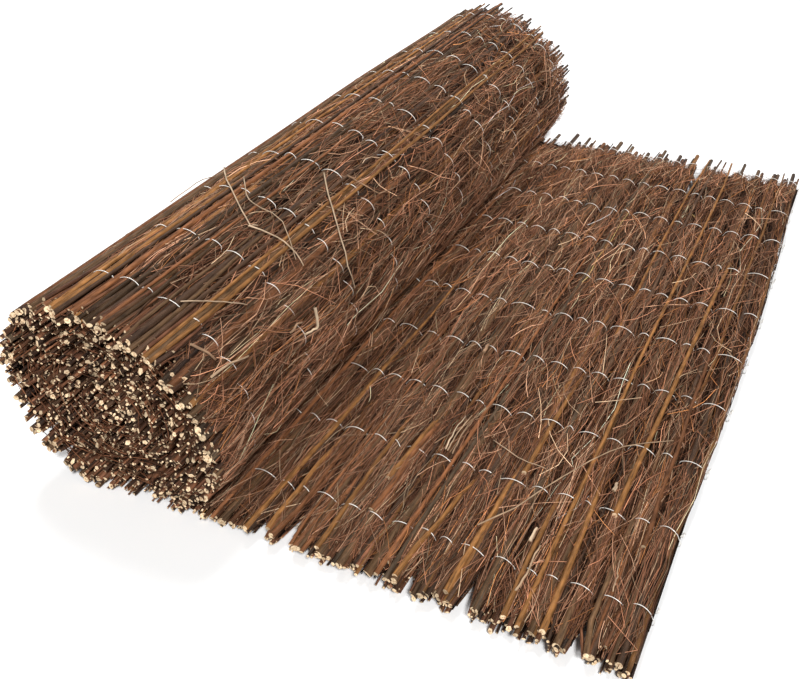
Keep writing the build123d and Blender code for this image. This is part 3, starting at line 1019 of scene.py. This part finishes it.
# %% [markdown]
# ## Long twigs of the brush
# A bundle's twigs are tied at each row of wire and free between rows. So each twig gets a point at
# every row that it crosses, kept low and inside its bundle there, and a point half way between two
# rows, where it may rise and stray to the neighbours. A patchwork of chance makes the brush thicker
# here and thinner there.

# %% Twigs tied in their bundle
HALF_PITCH = WIRE_PITCH / 2
FIRST_STATION = wire_rows[0] - HALF_PITCH
STATIONS = 24
patches = np.random.default_rng(7).random((bundle_count + 1, STATIONS))


def tied_twigs(name, chosen, side, each, seed):
    """Long twigs, the same number in each of these bundles."""
    rng = np.random.default_rng(seed)
    bundle = np.repeat(chosen, each)[:, None]
    count, points = len(bundle), 6
    first = rng.integers(0, 16, (count, 1))
    from_butt = rng.random((count, 1)) < 0.24
    first = np.where(from_butt, 0, first)
    station = first + np.arange(points)
    y = FIRST_STATION + HALF_PITCH * station.astype(float)
    butt_start, other_start = rng.uniform(-0.32, 0.3, (count, 1)), rng.uniform(0, 0.9, (count, 1))
    y[:, :1] += HALF_PITCH * np.where(from_butt, butt_start, other_start)
    y[:, -1:] -= HALF_PITCH * rng.uniform(0.05, 0.9, (count, 1))
    y[:, -1:] = np.minimum(y[:, -1:], far_limit(bundle * BUNDLE) - rng.uniform(0.030, 0.058, (count, 1)))
    at_row = (station % 2 == 1).astype(float)
    at_row[:, [0, -1]] = 0.4
    home = rng.uniform(-0.46, 0.46, (count, 1)) * BUNDLE
    aside = home * (1 - 0.12 * at_row) + rng.normal(0, 1, (count, points)) * (0.0046 - 0.0026 * at_row)
    stray = np.where(rng.random((count, 1)) < 0.2, rng.normal(0, 0.012, (count, 1)), 0)
    aside = aside + stray * np.linspace(-0.5, 0.5, points)
    layer = rng.random((count, 1))
    thick = 0.62 + 0.58 * patches[bundle, np.clip(station, 0, STATIONS - 1)]
    free = (0.0020 + 0.0088 * layer) * thick
    tied = 0.0020 + 0.0068 * layer
    fall = np.clip(np.abs(aside) / half_bundle, 0, 1) ** 2
    height = at_row * tied + (1 - at_row) * free - fall * (0.0014 + 0.0014 * at_row)
    length = np.clip((bundle + 0.5) * BUNDLE + aside, 0.001, mat_length)
    height = height * brush_rise(length, y) + rng.normal(0, 0.0004, (count, points))
    t = np.linspace(0, 1, points)
    t = np.where(rng.random((count, 1)) < 0.82, t, 1 - t)
    radii = rng.uniform(0.00029, 0.00048, (count, 1)) * (1.45 - 0.65 * layer) * (1 - 0.4 * t)
    # Painted shade: twigs that drop towards the valleys between bundles are darker
    tints = brush_tints_and_shade(rng, layer, length, y) * (1 - 0.35 * fall.mean(axis=1, keepdims=True))
    laid_strands(name, length, y, height, side, radii, tints, seed)


middle_bundle = len(roll_bundles) // 2
tied_twigs("apron_twigs", apron_bundles, side=-1, each=490, seed=41)
tied_twigs("roll_twigs_left", roll_bundles[:middle_bundle], side=1, each=450, seed=42)
tied_twigs("roll_twigs_right", roll_bundles[middle_bundle:], side=1, each=450, seed=43)

# %% [markdown]
# ## Side shoots
# Heather forks again and again, so over the long twigs lies a tangle of short thin shoots. They
# lean out to either side, curve back, and cross each other between the wires. Hair could grow them,
# but tubes are easier to hold inside the mat and clear of its gaps.

# %% Shoots
def shoots(name, low, high, side, count, seed, lean):
    """Short curved shoots between two lengths along the mat, leaning by about this many degrees."""
    rng = np.random.default_rng(seed)
    points = 4
    at = low + (high - low) * rng.random((count, 1)) ** 0.85
    row = rng.integers(-1, len(wire_rows), (count, 1))
    long = rng.uniform(0.025, 0.085, (count, 1))
    start = wire_rows[0] + WIRE_PITCH * row + rng.uniform(0.004, 0.075, (count, 1))
    way = np.where(rng.random((count, 1)) < 0.85, 1.0, -1.0)
    heading = rng.normal(0, math.radians(lean), (count, 1))
    t = np.linspace(0, 1, points)
    bend = rng.normal(0, math.radians(24), (count, 1)) - 0.5 * heading
    turn = heading + bend * t + np.cumsum(rng.normal(0, math.radians(6), (count, points)), axis=1)
    step = long / (points - 1)
    zero = np.zeros((count, 1))
    length = at + np.concatenate([zero, np.cumsum(np.sin(turn) * step, axis=1)[:, :-1]], axis=1)
    y = start + way * np.concatenate([zero, np.cumsum(np.cos(turn) * step, axis=1)[:, :-1]], axis=1)
    edge = far_limit(at) - rng.uniform(0.030, 0.056, (count, 1))
    y = y - np.maximum(y.max(axis=1, keepdims=True) - edge, 0)
    y = y - np.minimum(y.min(axis=1, keepdims=True) + HALF - 0.012, 0)
    length = low + np.abs(length - low)
    length = high - np.abs(high - length)
    layer = rng.random((count, 1))
    height = 0.0036 + 0.0068 * layer + rng.normal(0, 0.0005, (count, points)) + 0.0012 * layer * t**2
    height = (height - 0.0022 * pinch(y) * layer) * brush_rise(length, y)
    radii = rng.uniform(0.00025, 0.00041, (count, 1)) * (1 - 0.45 * t)
    # Painted shade and light by depth, as for the long twigs
    tints = brush_tints_and_shade(rng, 0.4 + 0.6 * layer, length, y)
    laid_strands(name, length, y, height, side, radii, tints, seed)


shoots("apron_shoots", 0.002, APRON_END, side=-1, count=13000, seed=45, lean=23)
shoots("roll_shoots", ROLL_START, ROLL_END, side=1, count=16000, seed=46, lean=31)

# %% [markdown]
# ## Binding wire
# Every row is a thin galvanised wire that rises over each bundle and dives between two, where it
# is twisted with the strand below. The arcs are never quite alike, and they step a little sideways
# at each twist. At the free edge the wire goes round the last bundle and back beneath the mat. A
# bevelled curve would do for one row, but with tubes all ten rows are one mesh on the mat's line.

# %% Wire
DULL_ZINC, BRIGHT_ZINC = (0.66, 0.63, 0.58, 1), (0.90, 0.87, 0.82, 1)
galvanised, tree, shader = new_material("galvanised")
cloud = tree.noise(tree.node("TexCoord", {}).outputs["Object"], 180.0, 3.0)
tree.feed(shader.inputs["Roughness"], tree.remap(cloud, (0.3, 0.7), (0.30, 0.55)))
tree.feed(shader.inputs["Base Color"], tree.ramp(cloud, (0.0, DULL_ZINC), (1.0, BRIGHT_ZINC)))
shader.inputs["Metallic"].default_value = 0.45

WIRE_RADIUS = 0.00038
WIRE_TOP, WIRE_DIP = 0.0104, 0.0012
STEPS = 8  # points over each bundle
# Along X and up, from beneath the mat to the free edge
ROUND_EDGE = ((0.080, 0.0009), (0.300, 0.0009), (0.4690, 0.0009), (0.4722, 0.0020), (0.4727, 0.0055))
BENEATH = 2  # points of it that stay beneath the mat


def wire_tubes(name, paths, sides, seed):
    radii = np.full(paths.shape[:2], WIRE_RADIUS)
    return tubes(name, paths, radii, sides, np.ones((len(paths), 3)), (galvanised,), seed=seed)


def wire_over(name, first, last, side, seed, lead=None):
    """One strand for each row over these bundles, after a lead of x and z points."""
    rng = np.random.default_rng(seed)
    rows, spans = len(wire_rows), last - first
    u = np.arange(spans * STEPS + 1) / STEPS
    number = np.minimum(u.astype(int), spans - 1)
    dips = np.arange(spans + 1) + rng.normal(0, 0.13, (rows, spans + 1))
    dips[:, [0, -1]] = (0, spans)
    inside = u - number
    top = WIRE_TOP + rng.normal(0, 0.0005, (rows, spans))
    height = WIRE_DIP + (top[:, number] - WIRE_DIP) * np.abs(np.sin(math.pi * inside)) ** 0.6
    along = dips[:, number] + (dips[:, number + 1] - dips[:, number]) * inside
    place = np.cumsum(rng.normal(0, 0.0012, (rows, spans)), axis=1)
    place -= place.mean(axis=1, keepdims=True)
    skew = rng.normal(0.0016, 0.0012, (rows, spans))
    y = wire_rows[:, None] + place[:, number] + skew[:, number] * (inside - 0.5) * 2
    paths = on_mat((first + along) * BUNDLE, y, height, side)
    if lead is not None:
        before = np.zeros((rows, len(lead), 3))
        before[..., [0, 2]] = lead
        before[..., 1] = y[:, :1]
        before[:, BENEATH:, 0] += belly(0, y[:, :1])
        paths = np.concatenate([before, paths], axis=1)
    return wire_tubes(name, paths, 6, seed)


apron_wire = wire_over("apron_wire", 0, len(apron_bundles), side=-1, seed=51, lead=ROUND_EDGE)
wire_over("roll_wire", roll_bundles[0], roll_bundles[-1] + 1, side=1, seed=52)
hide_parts(*wires)

# %% [markdown]
# ## Wire ends at the free edge
# Where the wires start, the cut end is twisted round and left as a small loop that stands off the
# last bundle. Each is one and a half turns of a shrinking circle.

# %% Loops of wire
LOOP_TURNS, LOOP_HEIGHT = 1.5, 0.0115
rng = np.random.default_rng(53)
count, points = len(wire_rows), 16
t = np.linspace(0, 1, points)
angle = rng.uniform(0, 2 * math.pi, (count, 1)) + 2 * LOOP_TURNS * math.pi * t
loop = rng.uniform(0.0026, 0.0040, (count, 1)) * (1 - 0.35 * t)
y = wire_rows[:, None] + rng.normal(0, 0.003, (count, 1)) + loop * np.cos(angle)
x = FREE_EDGE_X + 0.001 + belly(0, y) + 0.5 * loop * np.sin(angle) + 0.0015 * t
z = LOOP_HEIGHT + loop * np.sin(angle)
wire_tubes("wire_loops", np.stack([x, y, z], axis=2), 5, 53)

# %% [markdown]
# ## Strays
# Pale trimmings lie loose on the brush: bent twigs with the bark gone, a long thin twig across the
# flat part, and a few chips. Each is a radius and a short list of places along and across the mat,
# and it lies on top of the brush.

# %% Loose twigs and chips
ROLL_STRAYS = (
    (0.0009, (0.757, -0.189), (0.794, -0.237), (0.830, -0.277), (0.851, -0.297), (0.859, -0.288)),
    (0.0009, (0.851, -0.297), (0.866, -0.292), (0.883, -0.287), (0.899, -0.286), (0.915, -0.290)),
    (0.0007, (0.799, -0.217), (0.825, -0.256), (0.839, -0.263), (0.866, -0.260), (0.905, -0.292)),
    (0.0006, (0.735, -0.260), (0.744, -0.223), (0.771, -0.223), (0.768, -0.201)),
    (0.0010, (0.857, -0.152), (0.882, -0.186), (0.913, -0.215), (0.940, -0.233), (0.965, -0.237)),
    (0.0017, (0.950, -0.310), (0.967, -0.320), (0.961, -0.340)),
    (0.0013, (0.951, -0.358), (0.949, -0.347), (0.951, -0.337)),
    (0.0014, (0.931, -0.472), (0.933, -0.446), (0.940, -0.422)),
    (0.0007, (0.868, -0.435), (0.885, -0.413), (0.907, -0.383)),
    (0.0008, (0.875, -0.131), (0.894, -0.127), (0.911, -0.117), (0.917, -0.085)),
    (0.0015, (0.901, -0.466), (0.912, -0.460), (0.923, -0.456)),
)
FLAT_STRAYS = (
    (
        0.0008, (0.170, -0.416), (0.149, -0.386), (0.127, -0.337), (0.096, -0.274), (0.076, -0.249),
        (0.037, -0.220),
    ),
    (0.0020, (0.070, -0.318), (0.070, -0.306)),
    (0.0018, (0.120, -0.414), (0.120, -0.396)),
    (0.0011, (0.111, -0.473), (0.110, -0.442), (0.110, -0.415)),
    (0.0007, (0.037, -0.438), (0.041, -0.401)),
    (0.0008, (0.236, -0.333), (0.237, -0.310), (0.235, -0.271)),
    (0.0008, (0.230, -0.335), (0.232, -0.304), (0.231, -0.264)),
    (0.0008, (0.239, -0.332), (0.241, -0.303), (0.240, -0.276)),
    (0.0005, (0.200, -0.299), (0.165, -0.316), (0.139, -0.316)),
    (0.0006, (0.252, -0.329), (0.232, -0.284), (0.221, -0.242)),
    (0.0021, (0.266, -0.160), (0.267, -0.144)),
)
PALE_WOOD = ((0.50, 0.37, 0.25), (0.36, 0.245, 0.155), (0.29, 0.180, 0.110))
STRAY_HEIGHT, STRAY_ARCH = 0.0128, 0.0015


def strays(name, listed, side, seed):
    """Loose pieces that lie on the brush, through the places listed for each."""
    rng = np.random.default_rng(seed)
    count, points = len(listed), 10
    t = np.linspace(0, 1, points)
    length, y = np.empty((2, count, points))
    for i, (_, *places) in enumerate(listed):
        places = np.array(places)
        known = np.linspace(0, 1, len(places))
        length[i] = np.interp(t, known, places[:, 0])
        y[i] = np.interp(t, known, places[:, 1])
    wander = crooked(rng, count, points, 0.0006)
    height = STRAY_HEIGHT + STRAY_ARCH * np.sin(math.pi * t) + rng.normal(0, 0.0003, (count, points))
    radii = np.array([radius for radius, *_ in listed])[:, None] * (1 - 0.35 * t)
    paths = on_mat(length + wander, y, height, side)
    tints = tones(rng, count, PALE_WOOD, (4, 3, 2), 0.1)
    tubes(
        name, paths, radii, 5, tints, (twig_bark, cut_wood), (True, True), seed=seed
    )


strays("roll_strays", ROLL_STRAYS, side=1, seed=61)
strays("flat_strays", FLAT_STRAYS, side=-1, seed=62)

# %% [markdown]
